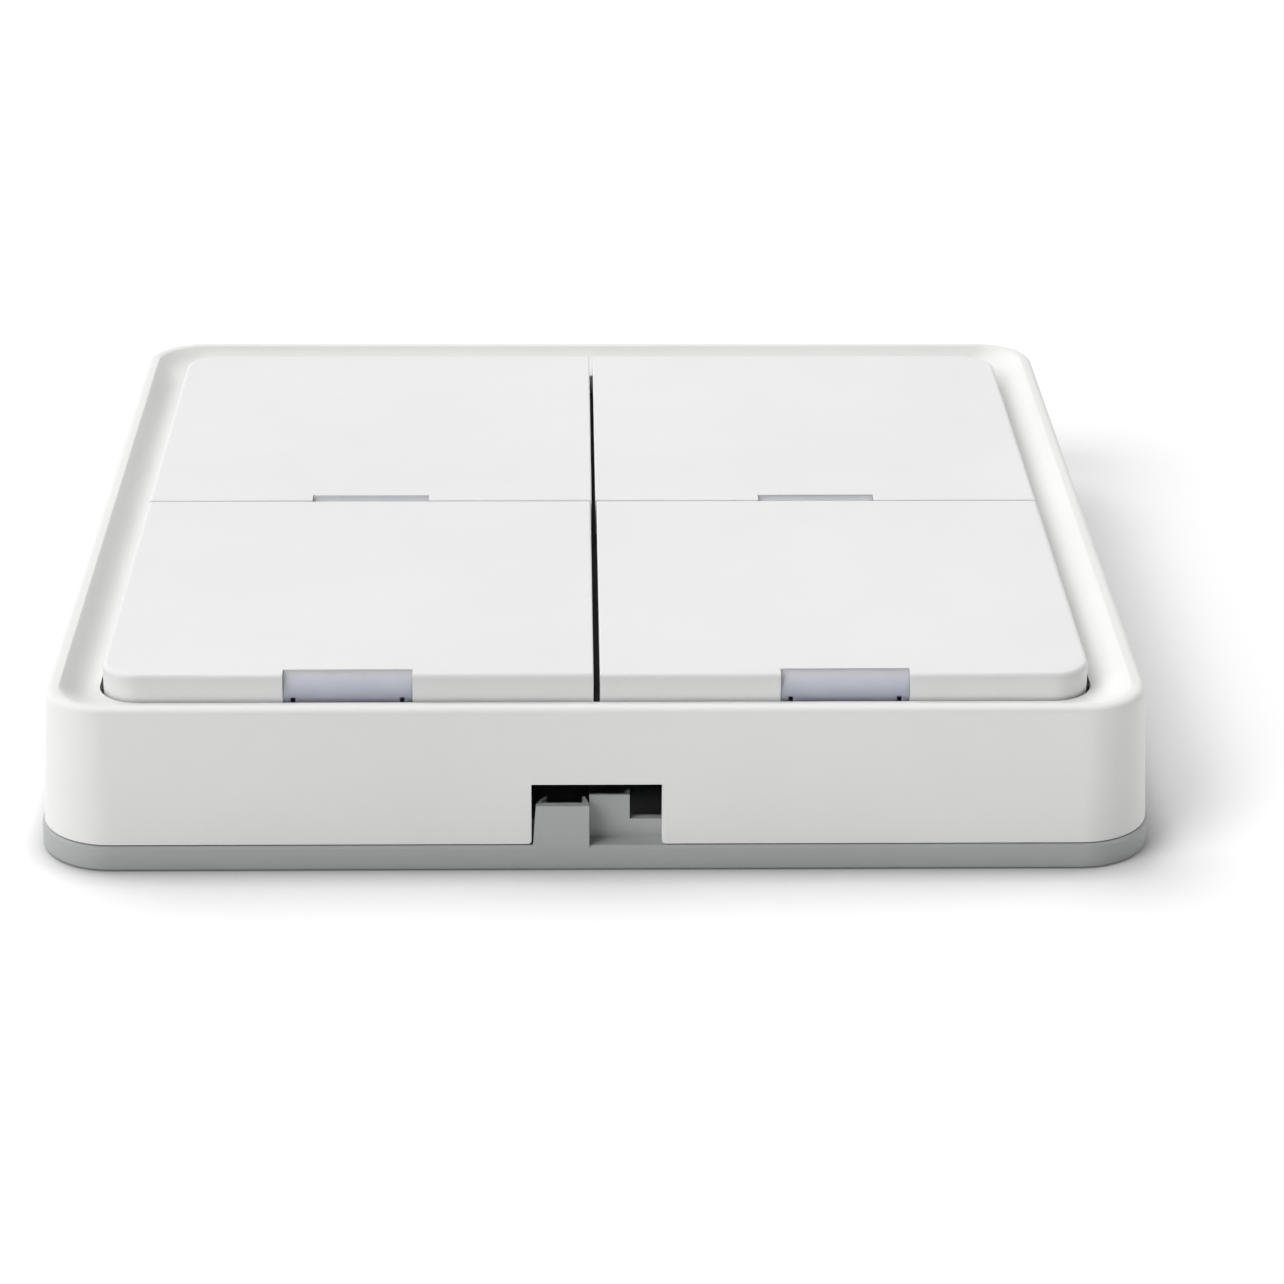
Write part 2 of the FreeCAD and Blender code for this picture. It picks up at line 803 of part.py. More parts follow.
def make_key(row, side):
    """One key: plate and skirt, ribs, hinge lugs, latch legs, and the stud that pushes the switch."""
    y = switch_line(row)
    half = push_width / 2
    stud = centred_block(
        window_offset, push_width, (y - half, y + half), (plunger_top + push_gap, key_underside)
    )
    lugs = [hinge_lug(row, x) for x in hinge_places(row)]
    legs = [latch_leg(row, window_offset + offset) for offset in (-latch_spread, latch_spread)]
    solid = key_shell(row).fuse([stud] + key_ribs(row) + lugs + legs)
    return mirrored(without(solid, [window_notch(row)]), side)


def window_lens(row):
    """The lens: a block whose front bends back in a wide round to meet the key's top."""
    front = rows[row][0]
    back = front + window_depth
    x = window_offset - window_width / 2
    centre_y = front + window_round
    centre_z = key_top_height - math.sqrt(window_round**2 - (window_round - window_depth) ** 2)
    sweep = math.acos((window_round - window_depth) / window_round) / 2
    corners = [
        Vector(x, back, key_top_height),
        Vector(x, back, window_foot_height),
        Vector(x, front, window_foot_height),
        Vector(x, front, centre_z),
    ]
    middle = Vector(x, centre_y - window_round * math.cos(sweep), centre_z + window_round * math.sin(sweep))
    edges = [Part.makeLine(a, b) for a, b in zip(corners, corners[1:])]
    edges.append(Part.Arc(corners[-1], middle, corners[0]).toShape())
    return Part.Face(Part.Wire(edges)).extrude(Vector(window_width, 0, 0))


def make_window(row, side):
    """One light window: the lens, a bridge through the skirt, a flange, and a light guide to the lamp."""
    front = rows[row][0]
    back = front + window_depth
    inner = front + key_skirt
    toe_reach = window_width / 2 - window_toe_inset - window_toe_width / 2
    toe_z = (window_foot_height, window_foot_height + window_toe_height)
    toes = [
        centred_block(window_offset + direction * toe_reach, window_toe_width, (front, back), toe_z)
        for direction in (-1, 1)
    ]
    bridge = centred_block(window_offset, window_width, (back, inner), (window_foot_height, key_underside))
    flange = centred_block(
        window_offset,
        window_width + 2 * window_flange_margin,
        (inner, inner + window_flange_thickness),
        (window_flange_foot, key_underside),
    )
    guide = centred_block(
        window_offset,
        window_guide_width,
        (inner, inner + window_guide_depth),
        (deck_underside, key_underside),
    )
    return mirrored(joined([window_lens(row).cut(toes), bridge, flange, guide]), side)


def circuit_board():
    """The board, with a clearance hole for each screw."""
    board = block((-board_half, board_half), (-board_half, board_half), (board_bottom, board_top))
    radius = screw_shank_radius + screw_hole_clearance
    return board.cut([post(radius, x, y, board_bottom, board_top) for x, y in screw_places()])


def board_screws():
    """The two screws that hold the board to the carrier, with their heads under the board."""
    foot = board_bottom - screw_head_height
    drive_z = (foot, foot + screw_drive_depth)
    long = screw_drive_length
    wide = screw_drive_width
    screws = []
    for x, y in screw_places():
        shank = post(screw_shank_radius, x, y, foot + screw_drive_depth, board_top + screw_bite)
        head = post(screw_head_radius, x, y, foot, board_bottom)
        drive = [
            centred_block(x, across, (y - along / 2, y + along / 2), drive_z)
            for across, along in ((long, wide), (wide, long))
        ]
        screws.append(without(head.fuse(shank), drive))
    return Part.makeCompound(screws)


def switch_body(row, side):
    """A push switch's case: a square box with a round well for the plunger, on four flat legs."""
    y = switch_line(row)
    half = switch_size / 2
    top = board_top + switch_height
    case = centred_block(window_offset, switch_size, (y - half, y + half), (board_top, top))
    bore = plunger_radius + plunger_running_clearance
    well = post(bore, window_offset, y, board_top + switch_floor, top)
    legs = []
    for direction in (-1, 1):
        leg_y = y + direction * switch_leg_pitch / 2
        y_range = (leg_y - switch_leg_width / 2, leg_y + switch_leg_width / 2)
        z_range = (board_top, board_top + switch_leg_height)
        legs.append(centred_block(window_offset, switch_size + 2 * switch_leg_reach, y_range, z_range))
    return mirrored(without(case.fuse(legs), [well]), side)


def switch_plunger(row, side):
    """A push switch's plunger: a short round post that slides in the case's well."""
    y = switch_line(row)
    return mirrored(post(plunger_radius, window_offset, y, plunger_top - plunger_height, plunger_top), side)


def switch_springs():
    """The four bowed spring leaves at the bottom of the switches' wells."""
    foot = board_top + switch_floor
    tip = spring_length / 2
    crown = spring_crown_length / 2
    under = [(-tip, foot), (-crown, foot + spring_rise), (crown, foot + spring_rise), (tip, foot)]
    outline = under + [(y, z + spring_thickness) for y, z in reversed(under)]
    springs = []
    for row in rows:
        for side in columns.values():
            leaf = side_profile(outline, side * window_offset, spring_width)
            leaf.translate(Vector(0, switch_line(row), 0))
            springs.append(leaf)
    return Part.makeCompound(springs)


def cell_top():
    """The height of the cell's face that points to the board."""
    return board_bottom - holder_floor - contact_thickness


def coin_cell():
    """The coin cell: a round can, and the smaller cap on its board side."""
    radius = cell_diameter / 2
    shoulder = cell_top() - cell_step_height
    can = post(radius, 0, 0, cell_top() - cell_height, shoulder)
    return joined([can, post(radius - cell_step, 0, 0, shoulder, cell_top())])


def battery_holder():
    """The holder: a square cup, open at one side to slide the cell out, with a slot for each contact."""
    foot = holder_foot
    outer = holder_outer
    cup = block((-outer, outer), (-outer, outer), (foot, board_bottom))
    room = post(holder_inner, 0, 0, foot, board_bottom - holder_floor)
    reach = 2 * outer
    spread = reach * math.tan(math.radians(holder_mouth_angle / 2))
    corners = [Vector(0, 0, foot), Vector(-spread, -reach, foot), Vector(spread, -reach, foot)]
    mouth = Part.Face(Part.makePolygon(corners + corners[:1])).extrude(Vector(0, 0, holder_depth))
    half = contact_width / 2 + contact_slot_clearance
    side_slot = block((0, outer), (-half, half), (foot, board_bottom))
    side_slot = side_slot.cut(post(holder_inner - holder_wall, 0, 0, foot, board_bottom))
    strip_reach = contact_strip_half + contact_slot_clearance
    strip_z = (board_bottom - holder_floor, board_bottom)
    strip_slot = block((-strip_reach, strip_reach), (-half, half), strip_z)
    return without(cup, [room, mouth, side_slot, strip_slot])


def battery_contact_positive():
    """The spring leaf that presses on the side of the cell's can, with a foot on the board."""
    near = cell_diameter / 2
    far = near + contact_thickness
    foot = holder_foot
    half = contact_width / 2
    corners = [
        (near, foot),
        (far, foot),
        (far, board_bottom - contact_thickness),
        (far + contact_foot, board_bottom - contact_thickness),
        (far + contact_foot, board_bottom),
        (near, board_bottom),
    ]
    points = [Vector(x, -half, z) for x, z in corners]
    return Part.Face(Part.makePolygon(points + points[:1])).extrude(Vector(0, contact_width, 0))


def battery_contact_negative():
    """The bowed strip between the board and the cell's cap."""
    half = contact_strip_half
    low = cell_top()
    tip = board_bottom - contact_thickness
    corners = [
        (-half, board_bottom),
        (-half, tip),
        (-half / 2, low),
        (half / 2, low),
        (half, tip),
        (half, board_bottom),
        (half / 2, low + contact_thickness),
        (-half / 2, low + contact_thickness),
    ]
    points = [Vector(x, -contact_width / 2, z) for x, z in corners]
    return Part.Face(Part.makePolygon(points + points[:1])).extrude(Vector(0, contact_width, 0))


def radio_module():
    """The radio's own small board, soldered under the main one between the cell and the upper edge."""
    z_range = (board_bottom - radio_thickness, board_bottom)
    return centred_block(0, radio_width, (radio_low, radio_high), z_range)


def radio_shield():
    """The shield can over the radio's chips: an open box of thin sheet."""
    low = radio_low + (radio_width - shield_width) / 2
    high = antenna_low - shield_antenna_gap
    top = board_bottom - radio_thickness
    foot = top - shield_height
    can = centred_block(0, shield_width, (low, high), (foot, top))
    room = centred_block(
        0, shield_width - 2 * shield_wall, (low + shield_wall, high - shield_wall), (foot + shield_wall, top)
    )
    return can.cut(room)


def radio_antenna():
    """The folded copper track at the free end of the radio's board."""
    high = antenna_low + antenna_span
    top = board_bottom - radio_thickness
    z_range = (top - antenna_height, top)
    half = antenna_track / 2
    start = -antenna_pitch * antenna_turns / 2
    track = []
    for turn in range(antenna_turns + 1):
        x = start + turn * antenna_pitch
        track.append(block((x - half, x + half), (antenna_low, high), z_range))
        if turn < antenna_turns:
            y = high - antenna_track if turn % 2 == 0 else antenna_low
            track.append(block((x - half, x + antenna_pitch + half), (y, y + antenna_track), z_range))
    return joined(track)


def status_leds():
    """Four lamps on the board, one under each light guide."""
    z_range = (board_top, board_top + led_height)
    lamps = []
    for row in rows:
        y = rows[row][0] + led_setback
        y_range = (y - led_width / 2, y + led_width / 2)
        for side in columns.values():
            lamps.append(centred_block(side * window_offset, led_length, y_range, z_range))
    return Part.makeCompound(lamps)


def board_chips():
    """A row of small capacitors and resistors under the board, on both sides of its middle."""
    y_range = (chip_row - chip_length / 2, chip_row + chip_length / 2)
    z_range = (board_bottom - chip_height, board_bottom)
    chips = []
    for side in (-1, 1):
        for index in range(chip_count):
            x = side * chip_pitch * (index + 1)
            chips.append(centred_block(x, chip_width, y_range, z_range))
    return Part.makeCompound(chips)


def all_pieces():
    """Every piece of the switch by name."""
    pieces = {
        "base_plate": base_plate(),
        "cover_frame": cover_frame(),
        "key_carrier": key_carrier(),
        "circuit_board": circuit_board(),
        "board_screws": board_screws(),
        "switch_springs": switch_springs(),
        "battery_holder": battery_holder(),
        "coin_cell": coin_cell(),
        "battery_contact_positive": battery_contact_positive(),
        "battery_contact_negative": battery_contact_negative(),
        "radio_module": radio_module(),
        "radio_shield": radio_shield(),
        "radio_antenna": radio_antenna(),
        "status_leds": status_leds(),
        "board_chips": board_chips(),
        "adhesive_pads": adhesive_pads(),
    }
    for row in rows:
        for column, side in columns.items():
            place = f"{row}_{column}"
            pieces[f"key_{place}"] = make_key(row, side)
            pieces[f"window_{place}"] = make_window(row, side)
            pieces[f"switch_body_{place}"] = switch_body(row, side)
            pieces[f"switch_plunger_{place}"] = switch_plunger(row, side)
    return pieces


os.makedirs("parts", exist_ok=True)
for name, shape in all_pieces().items():
    shape.exportStep(f"parts/{name}.step")
    print(f"{name}: {len(shape.Solids)} solids, valid {shape.isValid()}, volume {shape.Volume:.1f}")
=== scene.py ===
import json
import math

import bpy
from mathutils import Matrix, Vector

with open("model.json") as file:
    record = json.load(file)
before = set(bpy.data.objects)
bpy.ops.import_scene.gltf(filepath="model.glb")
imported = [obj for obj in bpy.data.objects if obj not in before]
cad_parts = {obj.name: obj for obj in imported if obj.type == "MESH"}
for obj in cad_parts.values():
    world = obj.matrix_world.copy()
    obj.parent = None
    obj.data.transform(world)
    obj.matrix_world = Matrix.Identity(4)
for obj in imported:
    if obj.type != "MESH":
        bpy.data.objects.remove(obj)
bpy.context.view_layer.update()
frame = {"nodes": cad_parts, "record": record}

# A battery-powered wall switch with four hinged keys. The shapes are the CAD's own. This script
# softens their edges and gives them materials, and makes the camera, the light and the floor.
# Lengths are in metres, in the CAD's frame, and colours are linear.

# Camera
CAMERA_PLACE = Vector((-0.002105, -0.290624, 0.128717))
CAMERA_PITCH = math.radians(23.864)
CAMERA_YAW = math.radians(1.259)
CAMERA_ROLL = math.radians(0.396)
CAMERA_LENS = 101.306
SENSOR_WIDTH = 36.0
CLIP_NEAR = 0.01
CLIP_FAR = 20

# Light. For each lamp: the angle round the part from +X, the angle above the floor, the level,
# the width, and whether reflections show it. The level is the share of white that the lamp gives
# a surface that faces it. In reflections, the two low lamps would glare on the keys from behind.
LAMPS = {
    "left_lamp": (216, 36, 0.57, 40, False),
    "right_lamp": (20, 22, 0.31, 45, False),
    "back_lamp": (130, 58, 0.56, 45, True),
}
SKY_LEVEL = 0.08
WHITE = (1, 1, 1, 1)

# Floor: a plane just below the part, and the light that it gives off as the background
FLOOR_HALF = 3.0
FLOOR_HEIGHT = -0.00002
FLOOR_TONE = 0.97
FLOOR_GLOW = 0.08

# The painted shade that darkens the floor in a line under the part's edge, and its tone where the
# floor is all hidden
CONTACT_SHADE_REACH = 0.003
PAINTED_CONTACT_SHADE_TONE = 0.15
CONTACT_SHADE_SAMPLES = 6

# Painted shade in the cover's narrow gaps: how near its walls are there, the tone, and how open
# a place is where that tone begins and ends
GAP_SHADE_REACH = 0.0012
PAINTED_GAP_SHADE_TONE = 0.03
GAP_SHADE_SHUT = 0.08
GAP_SHADE_OPEN = 0.3
GAP_SHADE_SAMPLES = 4

# Edges
EDGE_WIDTH = 0.00007
EDGE_SEGMENTS = 2
EDGE_ANGLE = math.radians(35)
SMOOTH_ANGLE = math.radians(32)
WELD_DISTANCE = 0.000001
LARGE_FACE_WEIGHT = 100

# Most of a noise's values lie between these
NOISE_LOW = 0.3
NOISE_HIGH = 0.7

# A polymer's usual specular level, and that of the matt ones
SATIN = 0.5
MATT = 0.4

# The heights between which the windows' painted shade goes from full, low down behind the cover's
# rim, to none
LENS_PAINTED_SHADE_FULL_HEIGHT = 0.0110
LENS_PAINTED_SHADE_END_HEIGHT = 0.0134

# The plastics: colour, roughness and what else differs from moulded_plastic's usual values
PLASTICS = {
    "cover_plastic": ((0.825, 0.822, 0.812), 0.56, {"specular": MATT, "painted_gap_shade": True}),
    "key_plastic": ((0.80, 0.803, 0.80), 0.54, {"specular": MATT}),
    "base_plastic": ((0.410, 0.423, 0.421), 0.48, {}),
    "carrier_plastic": ((0.012, 0.0125, 0.013), 0.6, {"specular": MATT}),
    "holder_plastic": ((0.035, 0.035, 0.036), 0.45, {}),
    "switch_plastic": ((0.04, 0.04, 0.042), 0.4, {}),
    "plunger_plastic": ((0.20, 0.20, 0.21), 0.4, {}),
    "chip_ceramic": ((0.33, 0.25, 0.16), 0.5, {"relief": 0.000004, "grain_scale": 12000.0}),
}

# The metals: colour and roughness
METALS = {
    "screw_steel": ((0.62, 0.61, 0.58), 0.3),
    "spring_steel": ((0.66, 0.64, 0.60), 0.22),
    "cell_steel": ((0.70, 0.70, 0.69), 0.24),
    "contact_plating": ((0.78, 0.75, 0.66), 0.2),
    "shield_tin": ((0.68, 0.69, 0.70), 0.32),
    "track_copper": ((0.80, 0.42, 0.24), 0.28),
}

# The circuit boards: colour of the solder mask, and of the bare laminate at the cut edges
LAMINATES = {
    "board_laminate": ((0.012, 0.075, 0.03, 1.0), (0.42, 0.36, 0.20, 1.0)),
    "radio_laminate": ((0.008, 0.010, 0.013, 1.0), (0.30, 0.26, 0.16, 1.0)),
}


def make_camera():
    """A camera at the place, angle and lens that fit the photograph."""
    pitch, yaw, roll = CAMERA_PITCH, CAMERA_YAW, CAMERA_ROLL
    ahead = Vector((
        math.sin(yaw) * math.cos(pitch),
        math.cos(yaw) * math.cos(pitch),
        -math.sin(pitch),
    ))
    level = Vector((math.cos(yaw), -math.sin(yaw), 0))
    above = level.cross(ahead)
    right = level * math.cos(roll) + above * math.sin(roll)
    up = above * math.cos(roll) - level * math.sin(roll)
    data = bpy.data.cameras.new("camera")
    data.sensor_fit = "HORIZONTAL"
    data.sensor_width = SENSOR_WIDTH
    data.lens = CAMERA_LENS
    data.clip_start = CLIP_NEAR
    data.clip_end = CLIP_FAR
    camera = bpy.data.objects.new("camera", data)
    turn = Matrix((right, up, -ahead)).transposed()
    camera.matrix_world = Matrix.Translation(CAMERA_PLACE) @ turn.to_4x4()
    bpy.context.scene.collection.objects.link(camera)
    bpy.context.scene.camera = camera


class Nodes:
    """A node tree of a material or the world, with short calls that add and link nodes."""

    def __init__(self, tree):
        self.tree = tree
        tree.nodes.clear()

    def feed(self, socket, value):
        """Links an input to another node's socket, or sets it to a plain value."""
        if isinstance(value, bpy.types.NodeSocket):
            self.tree.links.new(value, socket)
        else:
            socket.default_value = value

    def add(self, kind, inputs=None, **settings):
        node = self.tree.nodes.new(kind)
        for name, value in settings.items():
            setattr(node, name, value)
        for name, value in (inputs or {}).items():
            self.feed(node.inputs[name], value)
        return node

    def place(self):
        """Object coordinates, which stay with the piece."""
        return self.add("ShaderNodeTexCoord").outputs["Object"]

    def noise(self, scale, detail=2.0, roughness=0.5, place=None):
        return self.add("ShaderNodeTexNoise", {
            "Scale": scale,
            "Detail": detail,
            "Roughness": roughness,
            "Vector": self.place() if place is None else place,
        }).outputs["Fac"]

    def spread(self, noise, low, high):
        """A noise stretched to go from low to high."""
        return self.add("ShaderNodeMapRange", {
            "Value": noise,
            "From Min": NOISE_LOW,
            "From Max": NOISE_HIGH,
            "To Min": low,
            "To Max": high,
        }).outputs["Result"]

    def ramp(self, value, low, high):
        """0 where the value is low, and 1 where it is high."""
        inputs = {"Value": value, "From Min": low, "From Max": high}
        return self.add("ShaderNodeMapRange", inputs).outputs["Result"]

    def work_out(self, operation, first, second=0.0):
        node = self.add("ShaderNodeMath", {0: first, 1: second}, operation=operation)
        return node.outputs["Value"]

    def blend(self, share, first, second):
        """The first colour where the share is 0, and the second where it is 1."""
        node = self.add("ShaderNodeMix", data_type="RGBA")
        values = {"Factor_Float": share, "A_Color": first, "B_Color": second}
        for socket in node.inputs:
            if socket.identifier in values:
                self.feed(socket, values[socket.identifier])
        return next(s for s in node.outputs if s.identifier == "Result_Color")

    def mottle(self, noise, first, second):
        """A colour that wanders between two with a noise."""
        return self.blend(self.spread(noise, 0.0, 1.0), first, second)

    def bump(self, height, distance):
        inputs = {"Height": height, "Distance": distance}
        return self.add("ShaderNodeBump", inputs).outputs["Normal"]

    def open_share(self, reach, samples):
        """How open a place is: 0 in a shut gap, and 1 where nothing is within reach."""
        inputs = {"Distance": reach}
        return self.add("ShaderNodeAmbientOcclusion", inputs, samples=samples).outputs["AO"]

    def light_path(self):
        """1 for rays that come from the camera, or through glass or a reflection."""
        path = self.add("ShaderNodeLightPath").outputs
        seen = self.work_out("MAXIMUM", path["Is Camera Ray"], path["Is Glossy Ray"])
        return self.work_out("MAXIMUM", seen, path["Is Transmission Ray"])

    def shade(self, inputs):
        """The surface shader and the output."""
        shader = self.add("ShaderNodeBsdfPrincipled", inputs)
        self.add("ShaderNodeOutputMaterial", {"Surface": shader.outputs["BSDF"]})


def new_material(name):
    material = bpy.data.materials.new(name)
    material.use_nodes = True
    return material, Nodes(material.node_tree)


def tinted(colour, factor):
    return tuple(min(1.0, part * factor) for part in colour[:3]) + (1.0,)


def moulded_plastic(
    name, colour, roughness, specular=SATIN, relief=0.000008, grain_scale=7000.0, painted_gap_shade=False
):
    """Moulded plastic: an even eroded grain, faint flow clouds and a little wear in the gloss,
    and, where asked, painted shade in narrow gaps.
    """
    material, n = new_material(name)
    clouds = n.noise(scale=45.0, detail=3.0, roughness=0.55)
    grain = n.noise(scale=grain_scale, roughness=0.6)
    patches = n.noise(scale=260.0)
    tone = n.mottle(clouds, tinted(colour, 0.98), tinted(colour, 1.02))
    # Painted shade: the colour goes almost black where the walls of a narrow gap are near
    if painted_gap_shade:
        openness = n.open_share(GAP_SHADE_REACH, GAP_SHADE_SAMPLES)
        openness = n.ramp(openness, GAP_SHADE_SHUT, GAP_SHADE_OPEN)
        tone = n.blend(openness, tinted(colour, PAINTED_GAP_SHADE_TONE), tone)
    worn = n.spread(patches, roughness - 0.03, roughness + 0.03)
    height = n.work_out("ADD", grain, n.work_out("MULTIPLY", clouds, 0.6))
    n.shade({
        "Base Color": tone,
        "Roughness": n.work_out("ADD", worn, n.spread(grain, -0.04, 0.04)),
        "Normal": n.bump(height, relief),
        "Specular IOR Level": specular,
    })
    return material


def smoky_lens(name):
    """The tinted window: a bluish grey resin, polished outside and cloudy within, with painted
    shade low down where the cover's rim hides it.
    """
    material, n = new_material(name)
    clouds = n.noise(scale=400.0)
    grain = n.noise(scale=9000.0, detail=1.0)
    height = n.add("ShaderNodeSeparateXYZ", {"Vector": n.place()}).outputs["Z"]
    # Painted shade: the window's colour darkens towards its bottom, where the cover's rim hides it
    painted_shade_tint = n.mottle(clouds, (0.21, 0.225, 0.30, 1.0), (0.24, 0.255, 0.33, 1.0))
    unshaded_tint = n.mottle(clouds, (0.67, 0.685, 0.79, 1.0), (0.70, 0.715, 0.82, 1.0))
    n.shade({
        "Base Color": n.blend(n.ramp(height, LENS_PAINTED_SHADE_FULL_HEIGHT, LENS_PAINTED_SHADE_END_HEIGHT), painted_shade_tint, unshaded_tint),
        "Roughness": n.spread(grain, 0.16, 0.24),
        "Normal": n.bump(grain, 0.000002),
        "IOR": 1.52,
        "Coat Weight": 0.35,
        "Coat Roughness": 0.06,
        "Subsurface Weight": 0.85,
        "Subsurface Radius": (1.0, 1.0, 1.1),
        "Subsurface Scale": 0.002,
    })
    return material


def brushed_metal(name, colour, roughness):
    """Rolled or brushed metal, with fine lines one way and faint stains."""
    material, n = new_material(name)
    drawn_out = {"Vector": n.place(), "Scale": (1.0, 0.06, 1.0)}
    along = n.add("ShaderNodeMapping", drawn_out).outputs["Vector"]
    lines = n.noise(scale=2500.0, detail=3.0, roughness=0.6, place=along)
    stains = n.noise(scale=180.0, detail=3.0, roughness=0.6)
    brushed = n.spread(lines, roughness - 0.07, roughness + 0.07)
    n.shade({
        "Base Color": n.mottle(stains, tinted(colour, 0.93), tinted(colour, 1.04)),
        "Metallic": 1.0,
        "Roughness": n.work_out("ADD", brushed, n.spread(stains, -0.03, 0.05)),
        "Normal": n.bump(lines, 0.000004),
    })
    return material


def printed_laminate(name, mask, bare):
    """A circuit board: solder mask over raised copper runs, glass weave, bare at its cut edges."""
    material, n = new_material(name)
    place = n.place()
    runs = n.add("ShaderNodeTexBrick", {
        "Vector": place,
        "Color1": (0.0, 0.0, 0.0, 1.0),
        "Color2": (0.25, 0.25, 0.25, 1.0),
        "Mortar": WHITE,
        "Scale": 260.0,
        "Mortar Size": 0.05,
        "Mortar Smooth": 0.2,
        "Brick Width": 1.3,
        "Row Height": 0.35,
    })
    threads = {"Vector": place, "Scale": 900.0, "Distortion": 0.3}
    weave = n.work_out("ADD", *(
        n.add("ShaderNodeTexWave", threads, bands_direction=way).outputs["Fac"] for way in "XY"
    ))
    copper = n.add("ShaderNodeRGBToBW", {"Color": runs.outputs["Color"]}).outputs["Val"]
    coated = n.blend(copper, mask, tinted(mask, 1.7))
    facing = n.add("ShaderNodeNewGeometry").outputs["True Normal"]
    upright = n.add("ShaderNodeSeparateXYZ", {"Vector": facing}).outputs["Z"]
    is_face = n.work_out("GREATER_THAN", n.work_out("ABSOLUTE", upright), 0.5)
    height = n.work_out("ADD", copper, n.work_out("MULTIPLY", weave, 0.12))
    n.shade({
        "Base Color": n.blend(is_face, bare, coated),
        "Roughness": n.spread(n.noise(scale=700.0), 0.28, 0.42),
        "Normal": n.bump(height, 0.00002),
        "Coat Weight": 0.3,
        "Coat Roughness": 0.2,
    })
    return material


def foam_tape(name):
    """Closed-cell foam with a thin skin: packed cells in relief."""
    material, n = new_material(name)
    packed = {"Vector": n.place(), "Scale": 3200.0}
    cells = n.add("ShaderNodeTexVoronoi", packed).outputs["Distance"]
    light_share = n.work_out("MULTIPLY", cells, 1.3)
    n.shade({
        "Base Color": n.blend(light_share, (0.10, 0.10, 0.105, 1.0), (0.19, 0.19, 0.20, 1.0)),
        "Roughness": n.spread(n.noise(scale=900.0), 0.7, 0.9),
        "Normal": n.bump(cells, 0.00004),
        "Specular IOR Level": 0.3,
    })
    return material


def lamp_resin(name):
    """The lamps' clear yellowish resin, cloudy with phosphor."""
    material, n = new_material(name)
    dust = n.noise(scale=9000.0, roughness=0.7)
    n.shade({
        "Base Color": n.mottle(dust, (0.80, 0.70, 0.35, 1.0), (0.86, 0.80, 0.50, 1.0)),
        "Roughness": n.spread(dust, 0.12, 0.22),
        "Normal": n.bump(dust, 0.000003),
        "Subsurface Weight": 0.3,
        "Subsurface Radius": (1.0, 0.8, 0.4),
        "Subsurface Scale": 0.0003,
    })
    return material


def make_materials():
    """One material for each of the record's slots."""
    materials = {
        "window_plastic": smoky_lens("window_plastic"),
        "pad_foam": foam_tape("pad_foam"),
        "lamp_resin": lamp_resin("lamp_resin"),
    }
    for slot, (colour, roughness, others) in PLASTICS.items():
        materials[slot] = moulded_plastic(slot, colour, roughness, **others)
    for slot, (colour, roughness) in METALS.items():
        materials[slot] = brushed_metal(slot, colour, roughness)
    for slot, (mask, bare) in LAMINATES.items():
        materials[slot] = printed_laminate(slot, mask, bare)
    return materials


def smooth_group():
    """Geometry nodes that shade faces smooth, and keep edges sharp where they turn a lot."""
    group = bpy.data.node_groups.new("smooth_by_angle", "GeometryNodeTree")
    for way in ("INPUT", "OUTPUT"):
        group.interface.new_socket("Geometry", in_out=way, socket_type="NodeSocketGeometry")
    nodes, links = group.nodes, group.links
    start = nodes.new("NodeGroupInput")
    end = nodes.new("NodeGroupOutput")
    faces = nodes.new("GeometryNodeSetShadeSmooth")
    faces.domain = "FACE"
    faces.inputs["Shade Smooth"].default_value = True
    edges = nodes.new("GeometryNodeSetShadeSmooth")
    edges.domain = "EDGE"
    angle = nodes.new("GeometryNodeInputMeshEdgeAngle")
    compare = nodes.new("FunctionNodeCompare")
    compare.data_type = "FLOAT"
    compare.operation = "LESS_EQUAL"
    compare.inputs[1].default_value = SMOOTH_ANGLE
    links.new(angle.outputs["Unsigned Angle"], compare.inputs[0])
    links.new(start.outputs[0], faces.inputs["Geometry"])
    links.new(faces.outputs[0], edges.inputs["Geometry"])
    links.new(compare.outputs[0], edges.inputs["Shade Smooth"])
    links.new(edges.outputs[0], end.inputs[0])
    return group


def dress_nodes(materials):
    """Gives every CAD node its slot's material, softened edges and smooth rounds."""
    group = smooth_group()
    for row in frame["record"]["subparts"]:
        node = frame["nodes"][row["node"]]
        node.data.materials.clear()
        node.data.materials.append(materials[row["material_slot"]])
        weld = node.modifiers.new("weld", "WELD")
        weld.merge_threshold = WELD_DISTANCE
        bevel = node.modifiers.new("edges", "BEVEL")
        bevel.width = EDGE_WIDTH
        bevel.segments = EDGE_SEGMENTS
        bevel.limit_method = "ANGLE"
        bevel.angle_limit = EDGE_ANGLE
        bevel.use_clamp_overlap = True
        clean = node.modifiers.new("clean", "WELD")
        clean.merge_threshold = WELD_DISTANCE
        smooth = node.modifiers.new("smooth", "NODES")
        smooth.node_group = group
        even = node.modifiers.new("even", "WEIGHTED_NORMAL")
        even.mode = "FACE_AREA"
        even.weight = LARGE_FACE_WEIGHT
        even.keep_sharp = True


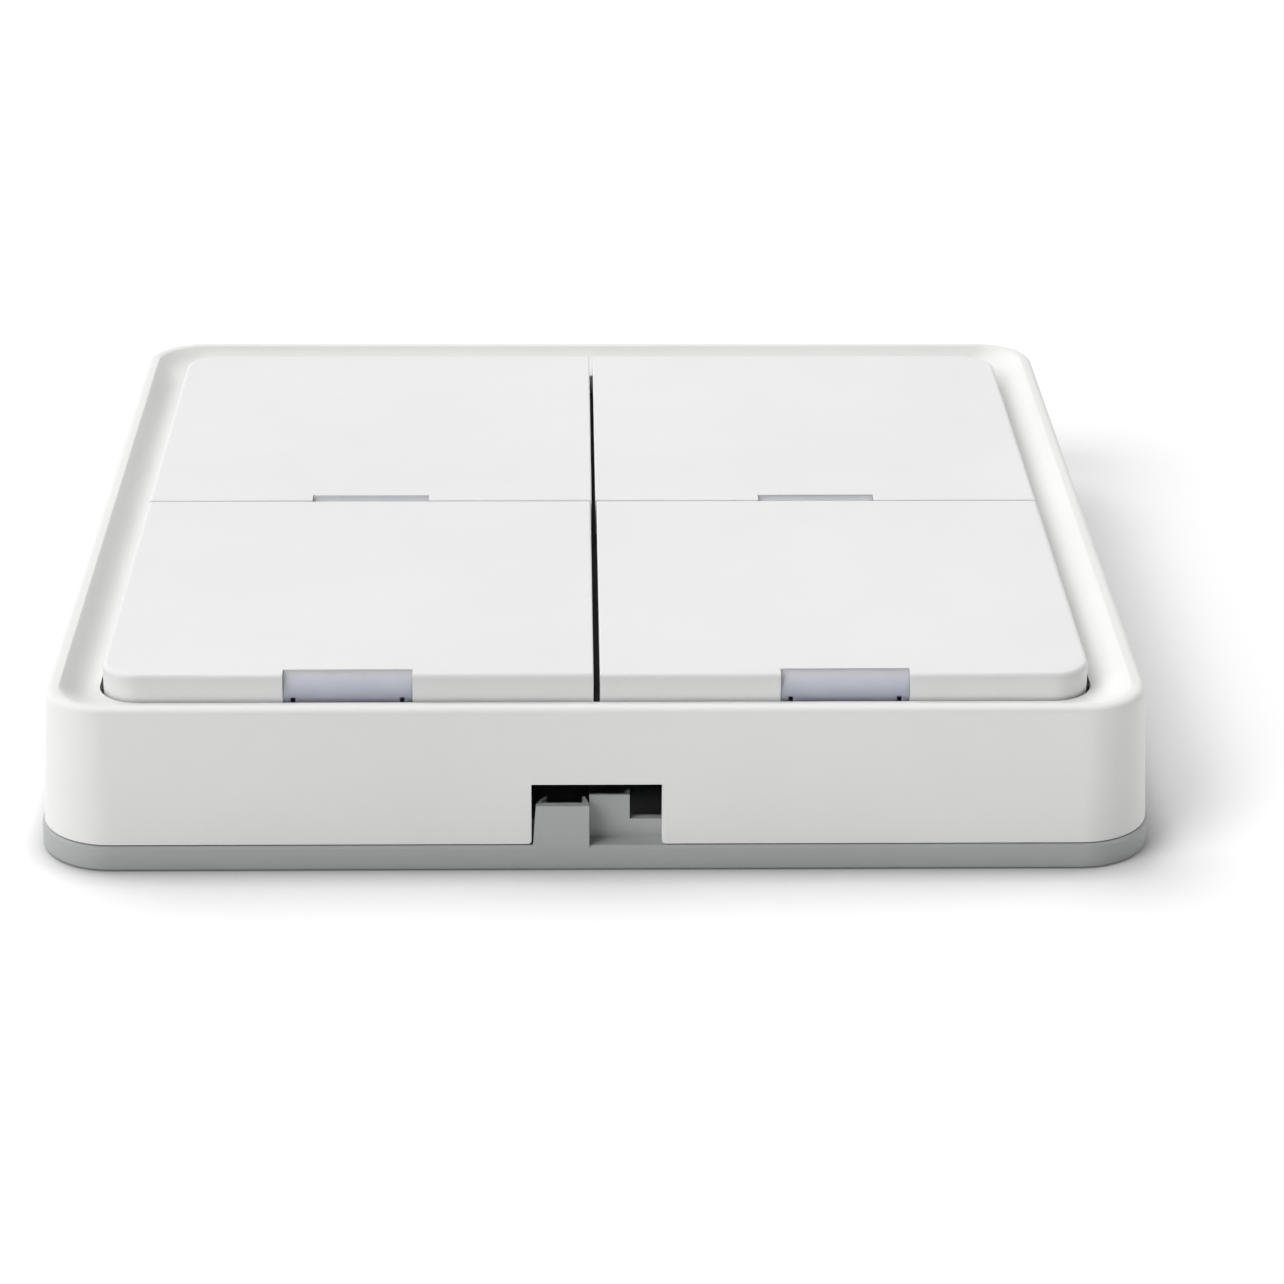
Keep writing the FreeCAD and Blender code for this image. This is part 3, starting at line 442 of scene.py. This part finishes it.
def make_world():
    """White as background and in reflections, and a lower even light."""
    world = bpy.data.worlds.new("world")
    bpy.context.scene.world = world
    world.use_nodes = True
    n = Nodes(world.node_tree)
    strength = n.add("ShaderNodeMapRange", {
        "Value": n.light_path(),
        "To Min": SKY_LEVEL,
        "To Max": 1.0,
    }).outputs["Result"]
    back = n.add("ShaderNodeBackground", {"Color": WHITE, "Strength": strength})
    n.add("ShaderNodeOutputWorld", {"Surface": back.outputs["Background"]})


def make_lamps():
    """Wide soft lamps, far away."""
    for name, (around, height, level, width, mirrored) in LAMPS.items():
        data = bpy.data.lights.new(name, "SUN")
        data.energy = level * math.pi
        data.angle = math.radians(width)
        lamp = bpy.data.objects.new(name, data)
        lamp.visible_glossy = mirrored
        source = Vector((math.cos(math.radians(height)), 0, math.sin(math.radians(height))))
        source.rotate(Matrix.Rotation(math.radians(around), 3, "Z"))
        lamp.rotation_mode = "QUATERNION"
        lamp.rotation_quaternion = source.to_track_quat("Z", "Y")
        bpy.context.scene.collection.objects.link(lamp)


def make_floor():
    """A wide pale floor, which keeps the part's shadow, with painted shade added close under the
    part's edges.
    """
    mesh = bpy.data.meshes.new("floor")
    turns = ((-1, -1), (1, -1), (1, 1), (-1, 1))
    corners = [(x * FLOOR_HALF, y * FLOOR_HALF, FLOOR_HEIGHT) for x, y in turns]
    mesh.from_pydata(corners, [], [(0, 1, 2, 3)])
    floor = bpy.data.objects.new("floor", mesh)
    bpy.context.scene.collection.objects.link(floor)
    material, n = new_material("floor")
    # Painted shade: the floor's colour darkens where the part hides it close by
    openness = n.open_share(CONTACT_SHADE_REACH, CONTACT_SHADE_SAMPLES)
    tone = n.blend(openness, tinted(WHITE, PAINTED_CONTACT_SHADE_TONE), tinted(WHITE, FLOOR_TONE))
    matt = n.add("ShaderNodeBsdfDiffuse", {"Color": tone})
    strength = n.work_out("MULTIPLY", n.light_path(), FLOOR_GLOW)
    glow = n.add("ShaderNodeEmission", {"Color": WHITE, "Strength": strength})
    both = n.add("ShaderNodeAddShader", {0: matt.outputs["BSDF"], 1: glow.outputs["Emission"]})
    n.add("ShaderNodeOutputMaterial", {"Surface": both.outputs["Shader"]})
    mesh.materials.append(material)


make_camera()
make_world()
make_lamps()
make_floor()
dress_nodes(make_materials())
bpy.context.scene.view_settings.view_transform = "Standard"
